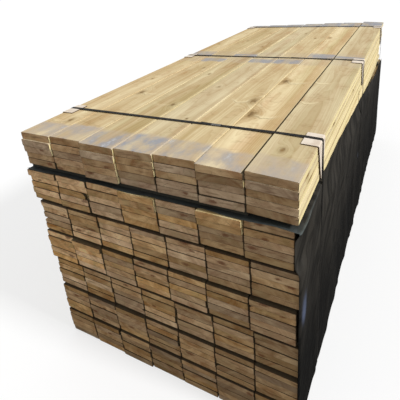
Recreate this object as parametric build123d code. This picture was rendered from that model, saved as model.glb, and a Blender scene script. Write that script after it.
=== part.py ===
from build123d import *
import math
import os
import random

os.makedirs("parts", exist_ok=True)

# Sawn pine boards, in millimetres
board_length = 2500
board_width = 150
board_thickness = 27
edge_arris = 1.0
width_tolerance = 1.2
end_stagger = 3.0

# How much longer than the nominal length the boards of the top course are, by column, and the most
# and least that other boards are; the extra length stands out at the back
top_course_extra = (0, 16, 43, 68, 94, 120, 147)
least_extra = 0
most_extra = 140

# Which run of small sawing faults is drawn
saw_seed = 27

# How the boards are piled: packets are numbered from the top down
packet_count = 7
courses_per_packet = 5
column_count = 7
column_gap = 2.0
packet_sideways = (0, -10, 4, -5, 5, 3, -2)
packet_forward = (0, 5, 0, 3, -2, 2, 0)

# The right-hand column of the top packet, which the straps pull down along its outer edge
dipped_packet = 1
dipped_column = column_count
edge_dip = 8.0
dip_lift = 0.5
dip_play = 0.02

# Flat spacer slats that lie across the pile between two packets
spacer_width = 95
spacer_thickness = 12
top_gap = 22
spacer_end_inset = 6
spacer_from_end = 62

# Polythene sheet that lies under the top packet and hangs down the right-hand side, where its back
# part has come off the edge and slipped down
sheet_thickness = 1.5
sheet_fold_radius = 1.35
sheet_clearance = 0.3
sheet_inset = 3
sheet_above_ground = 40
slip_from_front = 300
slip_at_back = 150
slip_apart = 4

# Straps round the pile
strap_width = 16
strap_thickness = 0.9
strap_clearance = 0.05
strap_from_front = (267, 1300, 2404)

# The seal that holds each strap's two ends, and the end that is left over
seal_length = 36
seal_wall = 0.6
seal_from_left = (700, 742, 640)
tail_length = 48
tail_skew = 5

# Angle pieces between the straps and the top corners of the pile
protector_thickness = 3.5
protector_top_leg = 52
protector_side_leg = 128
protector_length = 90
protector_tip = 24
protector_bend_radius = 5
protector_ahead_of_strap = 8

# How many points stand for one edge of a section where a strap goes round it
edge_steps = 6

# Boards sawn narrower than the rest, by packet, course and column, with the missing width
narrow_boards = {
    (2, 3, 2): 15, (2, 4, 2): 5, (2, 5, 2): 3, (3, 2, 1): 7, (4, 4, 5): 5,
    (5, 3, 4): 6, (5, 4, 4): 8, (6, 2, 4): 7, (6, 3, 4): 5, (7, 1, 2): 9,
}

# Boards whose front end stands forward of its neighbours, or behind them where the number is negative
proud_boards = {
    (1, 1, 3): 8, (1, 1, 5): -5, (1, 1, 6): 6, (1, 2, 1): 5, (1, 2, 3): 9, (1, 2, 4): 4,
    (1, 2, 5): -4, (1, 2, 6): 10, (1, 3, 1): 8, (1, 3, 3): 9, (1, 3, 4): 4, (1, 3, 5): -2,
    (1, 4, 3): 8, (1, 5, 3): 5, (2, 1, 1): 5, (2, 1, 4): 9, (2, 2, 4): 7, (2, 1, 6): 9,
    (2, 2, 6): 6, (4, 1, 2): 6, (5, 1, 5): 6, (6, 1, 3): 5,
}

# Boards with bark wane left along one upper edge, and the bevel that it leaves
waney_boards = {
    (2, 3, 2): "right", (3, 4, 1): "left", (4, 2, 7): "left", (5, 5, 3): "right",
    (6, 4, 6): "left", (7, 3, 4): "right",
}
wane_across = 16
wane_down = 11

column_pitch = board_width + column_gap
row_width = column_count * board_width + (column_count - 1) * column_gap
packet_height = courses_per_packet * board_thickness
gaps_below = [top_gap] + [spacer_thickness] * (packet_count - 2)
dip = math.asin(edge_dip / board_width)


def packet_base(packet):
    """Height of a packet's underside, where the bottom one stands on the straps."""
    packets_under = packet_count - packet
    strap = strap_thickness + strap_clearance
    return strap + packets_under * packet_height + sum(gaps_below[packet - 1:])


def packet_top(packet):
    """Height of a packet's upper face."""
    return packet_base(packet) + packet_height


def packet_left(packet):
    """X of a packet's left-hand face."""
    return packet_sideways[packet - 1] - row_width / 2


def column_left(packet, column):
    """X of the left-hand face of a column of boards."""
    return packet_left(packet) + (column - 1) * column_pitch


def front_to_y(distance):
    """Y of a place given by its distance from the nominal front end of the boards."""
    return distance - board_length / 2


def drawn_out(section, length, middle):
    """A section drawn in X and Z, carried along Y over a length with its middle where asked."""
    return Pos(0, middle, 0) * extrude(Plane.XZ * section, amount=length / 2, both=True)


def board_section(width, wane):
    """Section of a sawn board, hung from its top left corner, with its arrises taken off."""
    section = Rectangle(width, board_thickness, align=(Align.MIN, Align.MAX))
    if wane is None:
        return chamfer(section.vertices(), length=edge_arris)
    bevel = Polygon((0, 0), (wane_across, 0), (0, -wane_down), align=None)
    if wane == "right":
        bevel = Pos(width, 0) * mirror(bevel, about=Plane.YZ)
    lower = section.vertices().group_by(Axis.Y)[0]
    return chamfer(lower, length=edge_arris) - bevel


def extra_length(packet, course, column, saw):
    """How much longer than the nominal length a board is."""
    drawn = saw.uniform(least_extra, most_extra)
    return top_course_extra[column - 1] if (packet, course) == (1, 1) else drawn


def board(packet, course, column, saw):
    """One board where it lies in the pile, with the small faults of its sawing drawn by saw."""
    place = (packet, course, column)
    width = board_width - saw.uniform(0, width_tolerance) - narrow_boards.get(place, 0)
    forward = packet_forward[packet - 1] + saw.uniform(-end_stagger, end_stagger)
    forward += proud_boards.get(place, 0)
    extra = extra_length(packet, course, column, saw)
    section = board_section(width, waney_boards.get(place))
    solid = drawn_out(section, board_length + extra, extra / 2 - forward)
    left = column_left(packet, column)
    if (packet, column) == (dipped_packet, dipped_column):
        down = dip_lift - (course - 1) * (board_thickness / math.cos(dip) + dip_play)
        return Pos(left, 0, packet_top(packet) + down) * Rot(0, math.degrees(dip), 0) * solid
    return Pos(left, 0, packet_top(packet) - (course - 1) * board_thickness) * solid


def course_of_boards(packet, course, saw):
    """The boards of one course, side by side with a gap between each two."""
    return [board(packet, course, column, saw) for column in range(1, column_count + 1)]


def spacer_slats(packet):
    """The flat slats across the pile under one packet, at its two ends and its middle."""
    thickness = gaps_below[packet - 1]
    left = packet_left(packet + 1) + spacer_end_inset
    right = packet_left(packet + 1) + row_width - spacer_end_inset
    if packet == dipped_packet:
        thickness -= sheet_thickness + 2 * sheet_clearance
        right = column_left(packet, dipped_column) - column_gap
    slat = Box(right - left, spacer_width, thickness, align=(Align.MIN, Align.CENTER, Align.MAX))
    reach = board_length / 2 - spacer_from_end
    return [Pos(left, y, packet_base(packet)) * slat for y in (-reach, 0, reach)]


def sheet_section():
    """Section of the sheet: flat on the second packet, then down the right-hand side."""
    bed = packet_top(2) + sheet_clearance
    covered = range(2, packet_count + 1)
    face = max(packet_left(packet) for packet in covered) + row_width + sheet_clearance
    upper = Rectangle(face - packet_left(2), sheet_thickness, align=(Align.MAX, Align.MIN))
    hanging = Rectangle(sheet_thickness, bed + sheet_thickness - sheet_above_ground,
                        align=(Align.MIN, Align.MAX))
    section = Pos(face, bed) * upper + Pos(face, bed + sheet_thickness) * hanging
    outer_corner = section.vertices().group_by(Axis.X)[-1].sort_by(Axis.Y)[-1]
    return fillet(outer_corner, radius=sheet_fold_radius)


def slipped_part():
    """What is missing between the lying and the hanging part of the sheet where it slipped down."""
    face = sheet_section().bounding_box().max.X
    top = sheet_section().bounding_box().max.Y
    start, back = front_to_y(slip_from_front), board_length / 2 + most_extra
    gap = Plane.YZ * Polygon((start, top), (back, top), (back, top - slip_at_back), align=None)
    edge = face - sheet_thickness
    on_side = Pos(edge, 0, 0) * extrude(gap, amount=2 * sheet_thickness)
    on_top = Box(2 * slip_apart, back - start, 3 * sheet_thickness,
                 align=(Align.CENTER, Align.MIN, Align.CENTER))
    return on_side + Pos(edge, start, top) * on_top


def cover_sheet():
    """The sheet, as long as the longest boards but for a little at both ends."""
    length = board_length + most_extra - 2 * sheet_inset
    return drawn_out(sheet_section(), length, most_extra / 2) - slipped_part()


def dipped_corner():
    """Top right corner of the top packet, where its pulled-down column ends."""
    left = column_left(dipped_packet, dipped_column)
    top = packet_top(dipped_packet) + dip_lift
    return left + board_width * math.cos(dip), top - board_width * math.sin(dip)


def protector_section(side):
    """Section of an angle piece on the top left or the top right corner of the pile."""
    slope = dip if side == "right" else 0
    corner = dipped_corner() if side == "right" else (-packet_left(1), packet_top(1))
    leg_x, leg_z = -protector_top_leg * math.cos(slope), protector_top_leg * math.sin(slope)
    rise_x, rise_z = protector_thickness * math.sin(slope), protector_thickness * math.cos(slope)
    past_corner = protector_thickness * (1 - math.sin(slope)) / math.cos(slope)
    outer_corner = (protector_thickness, rise_z - past_corner * math.sin(slope))
    section = Polygon(
        (0, 0), (leg_x, leg_z), (leg_x + rise_x, leg_z + rise_z), outer_corner,
        (protector_thickness, -protector_side_leg), (0, -protector_side_leg), align=None)
    bend = section.vertices().sort_by(lambda v: v.X + v.Y)[-1]
    section = Pos(*corner) * fillet(bend, radius=protector_bend_radius)
    return mirror(section, about=Plane.YZ) if side == "left" else section


def tongue(side, middle, tip):
    """Outline of an angle piece seen from the side: full over the corner, narrowing down its leg."""
    corner = dipped_corner()[1] if side == "right" else packet_top(1)
    half, bottom = protector_length / 2, corner - protector_side_leg
    outline = Plane.YZ * Polygon(
        (middle - half, corner + protector_top_leg), (middle - half, corner - protector_bend_radius),
        (tip - protector_tip / 2, bottom), (tip + protector_tip / 2, bottom),
        (middle + half, corner - protector_bend_radius), (middle + half, corner + protector_top_leg), align=None)
    return extrude(outline, amount=row_width, both=True)


def corner_protector(side, strap):
    """One angle piece under a strap, its side leg narrowing to a tip under the strap."""
    tip = front_to_y(strap_from_front[strap])
    middle = tip - protector_ahead_of_strap
    return drawn_out(protector_section(side), protector_length, middle) & tongue(side, middle, tip)


def turn(a, b, c):
    """Positive where the way from a over b to c turns left."""
    return (b[0] - a[0]) * (c[1] - a[1]) - (b[1] - a[1]) * (c[0] - a[0])


def tight_line(points):
    """The line that a pulled strap takes round a set of points: their convex outline."""
    ordered = sorted(set(points))
    outline = []
    for walk in (ordered, ordered[::-1]):
        chain = []
        for point in walk:
            while len(chain) > 1 and turn(chain[-2], chain[-1], point) <= 0:
                chain.pop()
            chain.append(point)
        outline += chain[:-1]
    return outline


def points_along(section):
    """Points along the edges of a section, close enough together to follow its round corners."""
    places = [edge @ (step / edge_steps) for edge in section.edges() for step in range(edge_steps)]
    return [(round(place.X, 4), round(place.Y, 4)) for place in places]


def strapped_outline():
    """The convex outline of everything that a strap goes round."""
    raised_corner = (column_left(dipped_packet, dipped_column), packet_top(dipped_packet) + dip_lift)
    points = [raised_corner, dipped_corner()]
    for packet in range(1, packet_count + 1):
        left = packet_left(packet)
        right = left + row_width
        points += [(left, packet_base(packet)), (right, packet_base(packet))]
        points += [(left, packet_top(packet))]
        points += [(column_left(packet, column_count) - column_gap, packet_top(packet))]
    for section in (sheet_section(), protector_section("left"), protector_section("right")):
        points += points_along(section)
    return tight_line(points)


def top_run_plane(outline, x, y):
    """A plane on the strap's upper run at x, with its own X along the run and its Z outward."""
    for (x1, z1), (x2, z2) in zip(outline, outline[1:] + outline[:1]):
        if x2 < x <= x1:
            run = Vector(x1 - x2, 0, z1 - z2).normalized()
            z = z2 + (z1 - z2) * (x - x2) / (x1 - x2)
            return Plane(origin=(x, y, z), x_dir=run, z_dir=(-run.Z, 0, run.X))
    raise ValueError("the seal lies outside the strap's upper run")


def seal_place(strap):
    """The plane that a strap's seal sits on."""
    x = packet_left(1) + seal_from_left[strap]
    run = top_run_plane(strapped_outline(), x, front_to_y(strap_from_front[strap]))
    return run.offset(strap_clearance)


def strap_tail():
    """The strap's free end, on top of the strap through its seal and then a little askew."""
    along = (Align.MAX, Align.CENTER, Align.MIN)
    through_seal = Pos(seal_length / 2, 0, 0) * Box(seal_length, strap_width, strap_thickness, align=along)
    free_end = Rot(0, 0, -tail_skew) * Box(tail_length, strap_width, strap_thickness, align=along)
    return Pos(0, 0, strap_thickness) * (through_seal + Pos(-seal_length / 2, 0, 0) * free_end)


def strap(index):
    """One strap: a tight closed band with its overlapped end on top."""
    held = make_face(Polyline(*strapped_outline(), close=True))
    inside = offset(held, amount=strap_clearance, kind=Kind.INTERSECTION)
    band = offset(inside, amount=strap_thickness, kind=Kind.ARC) - inside
    loop = drawn_out(band, strap_width, front_to_y(strap_from_front[index]))
    return loop + seal_place(index) * strap_tail()


def strap_seal(index):
    """The folded metal sleeve round the two layers of a strap."""
    layers = 2 * strap_thickness
    centred = (Align.CENTER, Align.CENTER, Align.MIN)
    sleeve = Pos(0, 0, -seal_wall) * Box(seal_length, strap_width + 2 * seal_wall,
                                         layers + 2 * seal_wall, align=centred)
    return seal_place(index) * (sleeve - Box(seal_length, strap_width, layers, align=centred))


def all_pieces():
    """Every node of the pile with its solids, by name."""
    saw = random.Random(saw_seed)
    pieces = {}
    for packet in range(1, packet_count + 1):
        for course in range(1, courses_per_packet + 1):
            pieces[f"packet_{packet}_course_{course}"] = course_of_boards(packet, course, saw)
    for packet in range(1, packet_count):
        pieces[f"spacer_slats_{packet}"] = spacer_slats(packet)
    pieces["cover_sheet"] = [cover_sheet()]
    for index in range(len(strap_from_front)):
        pieces[f"strap_{index + 1}"] = [strap(index)]
        pieces[f"strap_seal_{index + 1}"] = [strap_seal(index)]
        for side in ("left", "right"):
            pieces[f"corner_protector_{side}_{index + 1}"] = [corner_protector(side, index)]
    return pieces


def centring_move(pieces):
    """The move that puts the origin on the ground under the middle of the whole pile's box."""
    boxes = [solid.bounding_box() for solids in pieces.values() for solid in solids]
    low = [min(getattr(box.min, axis) for box in boxes) for axis in "XYZ"]
    high = [max(getattr(box.max, axis) for box in boxes) for axis in "XYZ"]
    return Pos(-(low[0] + high[0]) / 2, -(low[1] + high[1]) / 2, -low[2])


pieces = all_pieces()
move = centring_move(pieces)
for name, solids in pieces.items():
    placed = Compound(label=name, children=[move * solid for solid in solids])
    export_step(placed, f"parts/{name}.step")
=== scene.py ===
"""Looks of a strapped bundle of sawn pine boards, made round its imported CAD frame."""

import logging
import math
from dataclasses import dataclass, field
from enum import Enum
from typing import Callable

import bmesh
import bpy
import numpy as np
from mathutils import Matrix, Vector


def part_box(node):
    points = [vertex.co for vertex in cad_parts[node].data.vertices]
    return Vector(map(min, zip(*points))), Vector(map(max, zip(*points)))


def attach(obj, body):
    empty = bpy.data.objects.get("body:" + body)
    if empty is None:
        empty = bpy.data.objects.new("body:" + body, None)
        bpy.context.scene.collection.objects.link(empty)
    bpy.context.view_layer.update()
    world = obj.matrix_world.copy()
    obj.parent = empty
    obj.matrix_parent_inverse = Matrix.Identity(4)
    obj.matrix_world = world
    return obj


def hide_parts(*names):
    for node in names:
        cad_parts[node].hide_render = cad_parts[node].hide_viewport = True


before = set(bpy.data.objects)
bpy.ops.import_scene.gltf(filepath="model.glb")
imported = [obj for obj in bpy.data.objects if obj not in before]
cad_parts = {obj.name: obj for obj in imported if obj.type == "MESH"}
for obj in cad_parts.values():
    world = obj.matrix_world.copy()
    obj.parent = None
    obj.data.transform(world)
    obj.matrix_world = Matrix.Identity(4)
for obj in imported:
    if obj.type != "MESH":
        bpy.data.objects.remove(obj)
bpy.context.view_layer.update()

LOG = logging.getLogger("bundle")
MM = 0.001
ACROSS, ALONG, UP = 0, 1, 2
PACKETS, COURSES, COLUMNS, STRAPS = 7, 5, 7, 3
BOARD_WIDTH, BOARD_THICKNESS = 150 * MM, 27 * MM
WHOLE_LENGTH = 9.0  # further than any board reaches
GREY_AGAIN = 2.395  # how far behind its front end a top board turns grey again
NO_SPOT = (0.0, -1.0, 0.0)
FACE_SLOT, END_SLOT = 0, 1

Adder = Callable[..., object]
Triple = tuple[float, float, float]
Faces = list[tuple[int, ...]]

# The setting that the word after a node's kind gives, where that isn't its operation
MAIN_CHOICES = {"Mix": "data_type", "MapRange": "interpolation_type", "TexNoise": "noise_dimensions",
                "TexVoronoi": "feature"}

# Nodes that come often, by what they do
BLEND, SOFT_RAMP = "Mix RGBA", "MapRange SMOOTHSTEP"
PLUS, MINUS, TIMES, OVER = "Math ADD", "Math SUBTRACT", "Math MULTIPLY", "Math DIVIDE"
TIMES_PLUS, LARGER, SMALLER = "Math MULTIPLY_ADD", "Math MAXIMUM", "Math MINIMUM"


def linear(colour: str) -> tuple[float, ...]:
    """Turns an sRGB hex colour to linear light.

    Args:
        colour: Six hex digits after a hash.

    Returns:
        Red, green, blue and an alpha of one.
    """
    parts = [int(colour[i:i + 2], 16) / 255 for i in (1, 3, 5)]
    return tuple(c / 12.92 if c <= 0.04045 else ((c + 0.055) / 1.055) ** 2.4 for c in parts) + (1.0,)


class NodeSheet:
    """The nodes of one material or world."""

    def __init__(self, tree: bpy.types.NodeTree) -> None:
        """Empties the tree that the nodes go to.

        Args:
            tree: A material's or a world's node tree.
        """
        self.tree = tree
        tree.nodes.clear()

    def add(self, kind: str, *values: object, out: int | str | None = 0, **settings: object) -> object:
        """Adds a node with its settings and links.

        Args:
            kind: The node's kind, without the words ShaderNode, and after it the node's main choice.
            values: A number, a hex colour or another node's output for each input in use, in order, or one
                dictionary of them by the inputs' names.
            out: The number or name of the output to give, among those in use, or None for all.
            settings: The node's other settings.

        Returns:
            The output asked for, or all of them.
        """
        kind, _, choice = kind.partition(" ")
        node = self.tree.nodes.new("ShaderNode" + kind)
        if choice:
            setattr(node, MAIN_CHOICES.get(kind, "operation"), choice)
        for key, value in settings.items():
            setattr(node, key, value)
        if values and isinstance(values[0], dict):
            pairs = [(node.inputs[name], value) for name, value in values[0].items()]
        else:
            pairs = list(zip([s for s in node.inputs if not s.is_unavailable], values))
        for socket, value in pairs:
            if isinstance(value, bpy.types.NodeSocket):
                self.tree.links.new(value, socket)
            else:
                socket.default_value = linear(value) if isinstance(value, str) else value
        outputs = [s for s in node.outputs if not s.is_unavailable]
        if isinstance(out, str):
            return node.outputs[out]
        return outputs[out] if out is not None and outputs else outputs


@dataclass(frozen=True)
class Finish:
    """What every material has: a name and a surface made of nodes."""

    name: str

    def material(self) -> bpy.types.Material:
        """Makes the material.

        Returns:
            The material, whose shader takes what the finish gives it.
        """
        material = bpy.data.materials.new(self.name)
        material.use_nodes = True
        add = NodeSheet(material.node_tree).add
        add("OutputMaterial", {"Surface": add("BsdfPrincipled", self.surface(add))})
        return material

    def surface(self, add: Adder) -> dict[str, object]:
        """Stands for the nodes that each finish adds."""
        raise NotImplementedError


class Cut(Enum):
    """How the saw met the grain."""

    FACE = "along the grain"
    END = "across the grain"


class Grain:
    """What the nodes of one sawn board share: places on it, its grain and its own numbers."""

    def __init__(self, add: Adder, wander: float) -> None:
        """Finds each place's distance from a pith that strays along the board.

        Args:
            add: The function that adds a node.
            wander: How far the pith strays from a straight line.
        """
        self.add = add
        self.place = add("Attribute", out=1, attribute_name="place")
        self.across, self.along, self.up = self.parts("place")
        heart_across, heart_up, self.ring_width = self.parts("heart")
        self.seed, self.tone, self.grey = self.parts("tint")
        self.shift = add("CombineXYZ", self.seed, self.seed, self.seed)
        stray_at = add(TIMES_PLUS, self.along, 0.9, self.seed)
        stray = add("TexNoise 1D", {"W": stray_at, "Scale": 1.0, "Detail": 1.0}, out=1)
        stray = add("VectorMath ADD", stray, (-0.5, -0.5, -0.5))
        section = add("CombineXYZ", self.across, self.up)
        section = add("VectorMath SUBTRACT", section, add("CombineXYZ", heart_across, heart_up))
        self.section = add("VectorMath MULTIPLY_ADD", stray, (wander, wander, 0.0), section)
        radius = add("VectorMath LENGTH", self.section)
        self.radius = add(TIMES_PLUS, self.noise((26.0, 3.2, 26.0), 3.0), 9 * MM, radius)

    def parts(self, name: str) -> list[object]:
        """Gives the three numbers of one of the board's attributes."""
        return self.add("SeparateXYZ", self.add("Attribute", out=1, attribute_name=name), out=None)

    def noise(self, scale: Triple, detail: float = 2.0, roughness: float = 0.5) -> object:
        """Adds a noise drawn out along the board.

        Args:
            scale: Cells in a metre across, along and through the board.
            detail: How many finer noises are laid over it.
            roughness: How strong they are.

        Returns:
            The noise, around a half.
        """
        at = self.add("VectorMath MULTIPLY_ADD", self.place, scale, self.shift)
        return self.add("TexNoise", {"Vector": at, "Scale": 1.0, "Detail": detail, "Roughness": roughness})

    def between(self, value: object, low: float, full: float, still: float, high: float) -> object:
        """Gives one where a value lies between two places, and falls off softly outside them.

        Args:
            value: The value.
            low: Up to here the result is zero.
            full: From here it is one.
            still: From here it falls again.
            high: From here it is zero.

        Returns:
            The result.
        """
        rise = self.add(SOFT_RAMP, value, low, full)
        return self.add(TIMES, rise, self.add(SOFT_RAMP, value, still, high, 1.0, 0.0))


@dataclass(frozen=True)
class SawnPine(Finish):
    """Scots pine off the band saw, air dried.

    Soft pale early wood lies between thin amber late wood, so a face shows long soft arches and an
    end shows arcs. The saw leaves both matt, and an end drinks light and looks browner.
    """

    cut: Cut
    early: str
    late: str
    pink: str = "#d5aa80"
    green: str = "#c6c08a"
    fresh: str = "#f7e5ad"
    pale: str = "#efdfb4"
    knot: str = "#86683a"
    knot_rim: str = "#5a4527"
    end_knot: str = "#74432a"
    end_stain: str = "#6e4b2e"
    grey: str = "#bfae97"
    slate: str = "#8d94a2"
    bloom: str = "#d3d7da"
    # Painted shade in seams, in gaps between packets and on sides behind the film
    dirt: str = "#33271b"
    # Drying checks, and painted shade round an end's rim, beside its upright seams and along the gaps between
    # packets
    checks_and_seam_shade: str = "#2d2116"
    roughness: float = 0.8
    bump: float = 0.35
    waves: float = 0.26
    late_sharpness: float = 2.4
    wander: float = 30 * MM  # how far the pith strays from a straight line
    saw_pitch: float = 7 * MM  # marks of a band saw are 2 to 3 mm apart, drawn coarser to show
    curl_reach: float = 105 * MM
    curl_sag: float = 130 * MM
    rubbed_from: float = 1.15  # where the middle strap's bearer has left faint traces, in metres
    rubbed_to: float = 1.45

    def surface(self, add: Adder) -> dict[str, object]:
        """Lays the wood's rings, streaks, knots, stains, painted shade and saw marks over one another.

        Args:
            add: The function that adds a node.

        Returns:
            The shader's inputs, which read the boards' own attributes.
        """
        grain = Grain(add, self.wander)
        core, halo, feather, shade = self.knots(grain)
        rings = add(OVER, grain.radius, grain.ring_width)
        late = add("Math POWER", add("Math FRACT", rings), self.late_sharpness)

        # Soft bands of several years, then streaks and clouds that don't follow the rings.
        share = add(TIMES_PLUS, late, 0.24, 0.43)
        for rate, weight in ((0.24, 0.75), (0.065, 1.05)):
            years = add(TIMES_PLUS, rings, rate, grain.seed)
            years = add("TexNoise 1D", {"W": years, "Scale": 1.0, "Detail": 2.0, "Roughness": 0.6})
            share = add(TIMES_PLUS, add(MINUS, years, 0.5), weight, share)
        streak = grain.noise((46.0, 1.0, 46.0), 3.0, 0.6)
        broad = grain.noise((15.0, 0.5, 15.0))
        cloud = grain.noise((13.0, 4.5, 13.0), 4.0, 0.6)
        for noise, weight in ((streak, 0.55), (broad, 1.0), (cloud, 0.75)):
            share = add(TIMES_PLUS, add(MINUS, noise, 0.5), weight, share)
        colour = add(BLEND, add(PLUS, share, 0.0, use_clamp=True), self.early, self.late)
        colour = add(BLEND, add(SOFT_RAMP, cloud, 0.5, 0.75, 0.0, 0.25), colour, self.pink)
        colour = add(BLEND, add(SOFT_RAMP, broad, 0.5, 0.72, 0.0, 0.25), colour, self.green)
        full = add(MINUS, 1.0, grain.grey)
        colour = add("HueSaturation", {"Saturation": full, "Value": grain.tone, "Color": colour})

        # Short wavy lines cross the grain where a knot lies just under the surface.
        wave = add("Math ABSOLUTE", add(MINUS, grain.noise((6.0, 17.0, 6.0), 3.0, 0.6), 0.5))
        wave = add(TIMES, add(SOFT_RAMP, wave, 0.0, 0.03, 1.0, 0.0), add(SOFT_RAMP, cloud, 0.47, 0.6))
        heartwood = add(BLEND, late, self.knot, self.knot_rim)
        for mask, most, tint in ((wave, self.waves, self.knot), (feather, 0.7, self.pale),
                                 (shade, 0.55, self.knot), (halo, 0.4, self.knot), (core, 0.78, heartwood)):
            colour = add(BLEND, add(TIMES, mask, most), colour, tint)
        on_face = self.cut is Cut.FACE
        colour = self.weathered_and_shaded(grain, colour, cloud, streak) if on_face else self.end_stained_and_shaded(grain, colour)

        saw_at = add(TIMES_PLUS, cloud, 9 * MM, grain.along if on_face else grain.across)
        saw = add("Math SINE", add(TIMES, saw_at, 2 * math.pi / self.saw_pitch))
        fibre = grain.noise((900.0, 60.0, 900.0))
        height = add(TIMES_PLUS, late, 0.3, add(TIMES_PLUS, saw, 0.16, fibre))
        return {
            "Base Color": colour,
            "Roughness": add(SOFT_RAMP, fibre, 0.2, 0.8, self.roughness - 0.08, self.roughness + 0.1),
            "Normal": add("Bump", {"Strength": self.bump, "Distance": 0.6 * MM, "Height": height}),
            "IOR": 1.5,
            "Specular IOR Level": 0.25,
        }

    def knots(self, grain: Grain) -> tuple[object, object, object, object]:
        """Bends the grain round the board's knots and draws them.

        Args:
            grain: The board's grain, whose rings are pushed aside.

        Returns:
            How far each place is in a knot, in its rim, in the pale curl beside it and in its dark line.
        """
        add = grain.add
        core, halo, feather, shade = 0.0, 0.0, 0.0, 0.0
        rough = grain.noise((95.0, 45.0, 95.0))
        wavy = grain.noise((24.0, 9.0, 24.0), 3.0, 0.6)
        for name in ("knot_1", "knot_2", "knot_3"):
            k_across, k_along, k_size = grain.parts(name)
            aside = add(MINUS, grain.across, k_across)
            ahead = add(MINUS, grain.along, k_along)
            away = add("VectorMath LENGTH", add("CombineXYZ", aside, add(TIMES, ahead, 0.5)))
            away = add(OVER, away, add(LARGER, k_size, 0.1 * MM))
            push = add(TIMES, add(SOFT_RAMP, away, 0.0, 5.0, 1.0, 0.0), k_size)
            grain.radius = add(TIMES_PLUS, push, 1.7, grain.radius)
            edge = add(TIMES_PLUS, rough, 1.6, away)
            core = add(LARGER, add(SOFT_RAMP, edge, 1.15, 1.95, 1.0, 0.0), core)
            halo = add(LARGER, add(SOFT_RAMP, edge, 1.5, 3.3, 1.0, 0.0), halo)
            # A branch cut lengthwise leaves a curl that runs over the board's middle and sags to the front.
            reach = add(TIMES, add(TIMES, aside, add("Math SIGN", k_across)), -1 / self.curl_reach)
            sag = add(TIMES, add(TIMES, reach, add(MINUS, 1.0, reach)), self.curl_sag)
            off = add(TIMES_PLUS, wavy, 60 * MM, add(PLUS, ahead, sag))
            off = add(MINUS, off, 22 * MM)
            inside = grain.between(reach, 0.02, 0.2, 0.6, 1.1)
            inside = add(TIMES, inside, add(SOFT_RAMP, k_size, 6 * MM, 13 * MM))
            near = grain.between(off, -2 * MM, 10 * MM, 12 * MM, 42 * MM)
            line = grain.between(off, 3 * MM, 10 * MM, 10 * MM, 19 * MM)
            feather = add(LARGER, add(TIMES, near, inside), feather)
            shade = add(LARGER, add(TIMES, line, inside), shade)
        return core, halo, feather, shade

    def weathered_and_shaded(self, grain: Grain, colour: object, cloud: object, streak: object) -> object:
        """Greys an upper face at its ends and where a bearer lay on it, leaves the sides fresh, and paints
        shade in from the front end and along sides that lie in shade.

        Args:
            grain: The board's grain.
            colour: The wood's colour so far.
            cloud: A broad soft noise; not used.
            streak: A noise drawn out along the grain.

        Returns:
            The greyed colour, with its painted shade.
        """
        add = grain.add
        front, back, strength = grain.parts("weather")
        start, stop, marked = grain.parts("mark")
        blue, dirt_reach, amount = grain.parts("dirt")
        on_top = add(SOFT_RAMP, grain.up, 21.0 * MM, 23.5 * MM)
        fresh = add(BLEND, add(SOFT_RAMP, streak, 0.3, 0.62, 0.5, 1.0), colour, self.fresh)
        colour = add(BLEND, add(MINUS, 1.0, on_top), colour, fresh)

        # Painted shade reaches in from the front, into the seams and the gaps between packets, and on a top
        # face it stops short.
        dirt_reach = add("Mix", on_top, dirt_reach, add(SMALLER, dirt_reach, 40 * MM))
        behind = add(TIMES_PLUS, streak, 6 * MM, add(MINUS, dirt_reach, grain.along))
        behind = add(TIMES, add(SOFT_RAMP, behind, 0.0, 9 * MM), amount)
        clear = add(TIMES, on_top, add(SOFT_RAMP, marked, 0.0, 0.5))
        colour = add(BLEND, add(TIMES, behind, add(MINUS, 1.0, clear)), colour, self.dirt)

        patch = grain.noise((16.0, 9.0, 16.0), 5.0, 0.62)
        spot = grain.noise((22.0, 11.0, 22.0), 5.0, 0.66)
        ragged = add(MINUS, add(TIMES_PLUS, patch, 60 * MM, grain.along), 30 * MM)
        far = add(MINUS, ragged, back)
        ends = add(SOFT_RAMP, add(LARGER, add(MINUS, front, ragged), far), -10 * MM, 16 * MM)
        ends = add(TIMES, ends, strength)
        bearer = add(SMALLER, add(MINUS, ragged, start), add(MINUS, stop, ragged))
        rubbed = add(SMALLER, add(MINUS, ragged, self.rubbed_from), add(MINUS, self.rubbed_to, ragged))
        bearer = add(LARGER, add(SOFT_RAMP, bearer, -6 * MM, 16 * MM),
                     add(SOFT_RAMP, rubbed, -10 * MM, 30 * MM, 0.0, 0.3))
        bearer = add(TIMES, bearer, marked)
        both = add(TIMES, add(LARGER, ends, bearer), on_top)
        both = add(TIMES, both, add(SOFT_RAMP, patch, 0.34, 0.62, 0.45, 1.0))
        bluer = add(TIMES, add(TIMES, add(SOFT_RAMP, spot, 0.4, 0.66), blue), ends)
        bluer = add(LARGER, bluer, add(TIMES, bearer, 0.85))
        bluer = add(LARGER, bluer, add(TIMES, add(SOFT_RAMP, far, -4 * MM, 12 * MM), 0.9))
        stain = add(BLEND, bluer, self.grey, self.slate)
        bloomed = add(TIMES, add(TIMES, add(SOFT_RAMP, spot, 0.6, 0.7, 0.0, 0.7), ends), blue)
        return add(BLEND, both, colour, add(BLEND, bloomed, stain, self.bloom))

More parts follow.
